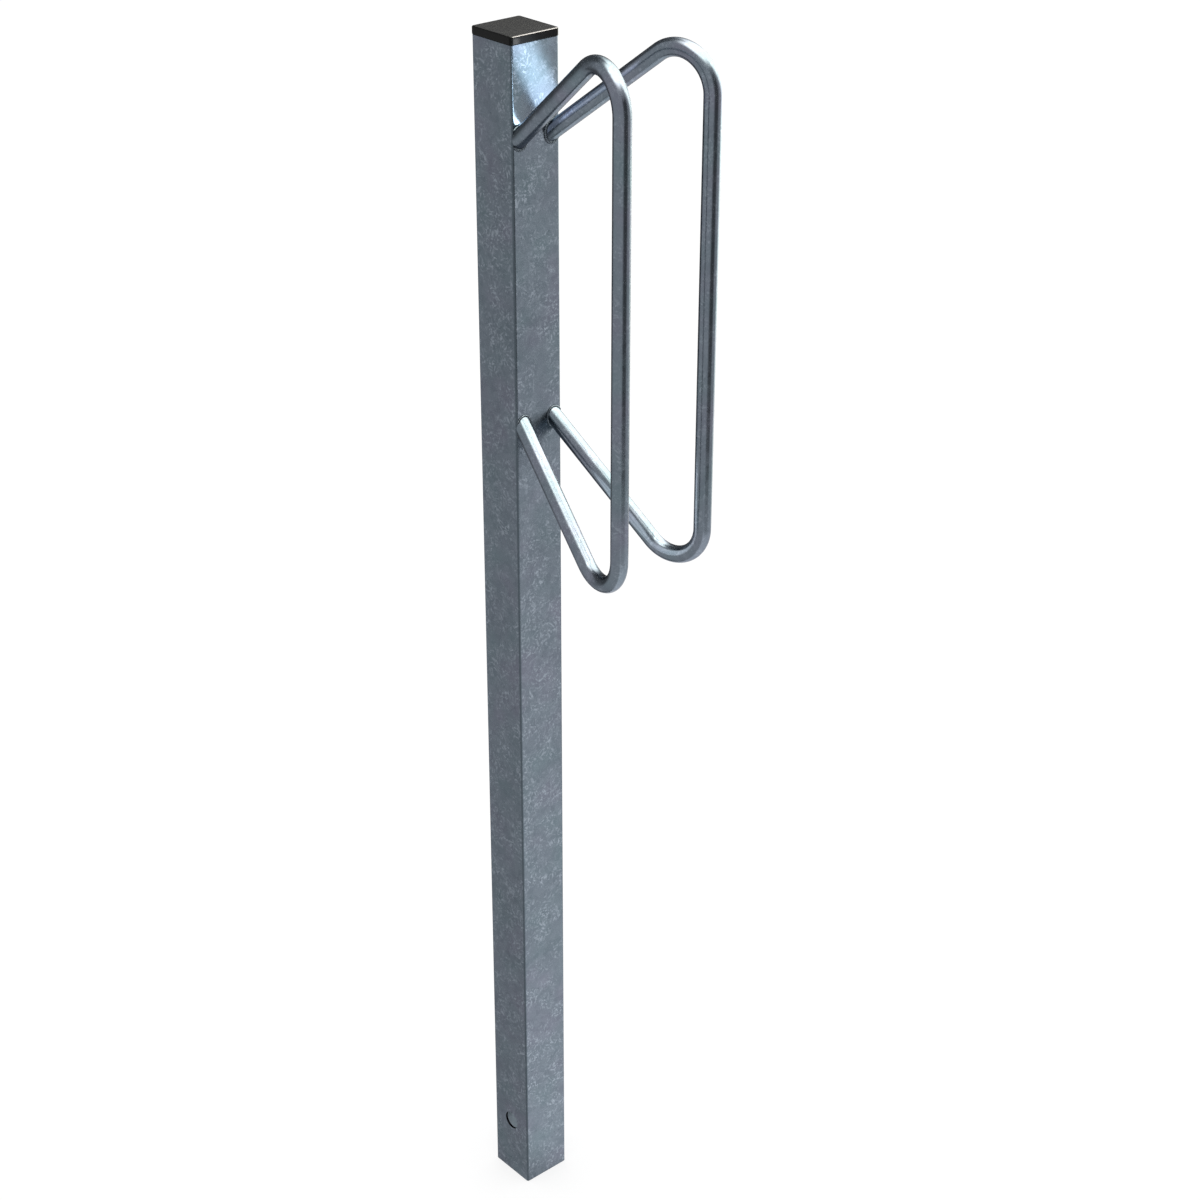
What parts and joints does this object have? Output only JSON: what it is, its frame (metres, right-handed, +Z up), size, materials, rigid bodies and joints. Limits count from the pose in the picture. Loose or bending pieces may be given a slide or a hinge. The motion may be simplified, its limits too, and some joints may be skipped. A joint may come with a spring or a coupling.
{
  "type": "hoop bike rack",
  "caption": "Bike rack for setting in the ground: a capped square steel post with splayed bent-bar hoops that hold a wheel between them.",
  "frame": {"origin": "on the post's axis at its foot, where it stands in the ground", "axes": "+Z up along the post; the hoops leave the post's -Y face and reach out along -Y, so the wheel comes in from -Y; -X is the rack's left seen from the front"},
  "size_m": [0.13, 0.2583, 1.4242],
  "materials": {
    "galvanised_steel": "hot-dip galvanised square tube, blue-grey, with a fine soft spangle",
    "galvanised_bar": "hot-dip galvanised round tube, smoother and a little glossier than the post",
    "galvanised_weld": "rippled weld bead under zinc, a little darker and duller than the tubes",
    "black_plastic": "moulded black plastic with a fine grain and a slight sheen"
  },
  "bodies": {
    "root": {"post": "galvanised_steel", "end_cap": "black_plastic", "hoop_left": "galvanised_bar", "hoop_right": "galvanised_bar", "weld_upper_left": "galvanised_weld", "weld_lower_left": "galvanised_weld", "weld_upper_right": "galvanised_weld", "weld_lower_right": "galvanised_weld"}
  },
  "joints": []
}
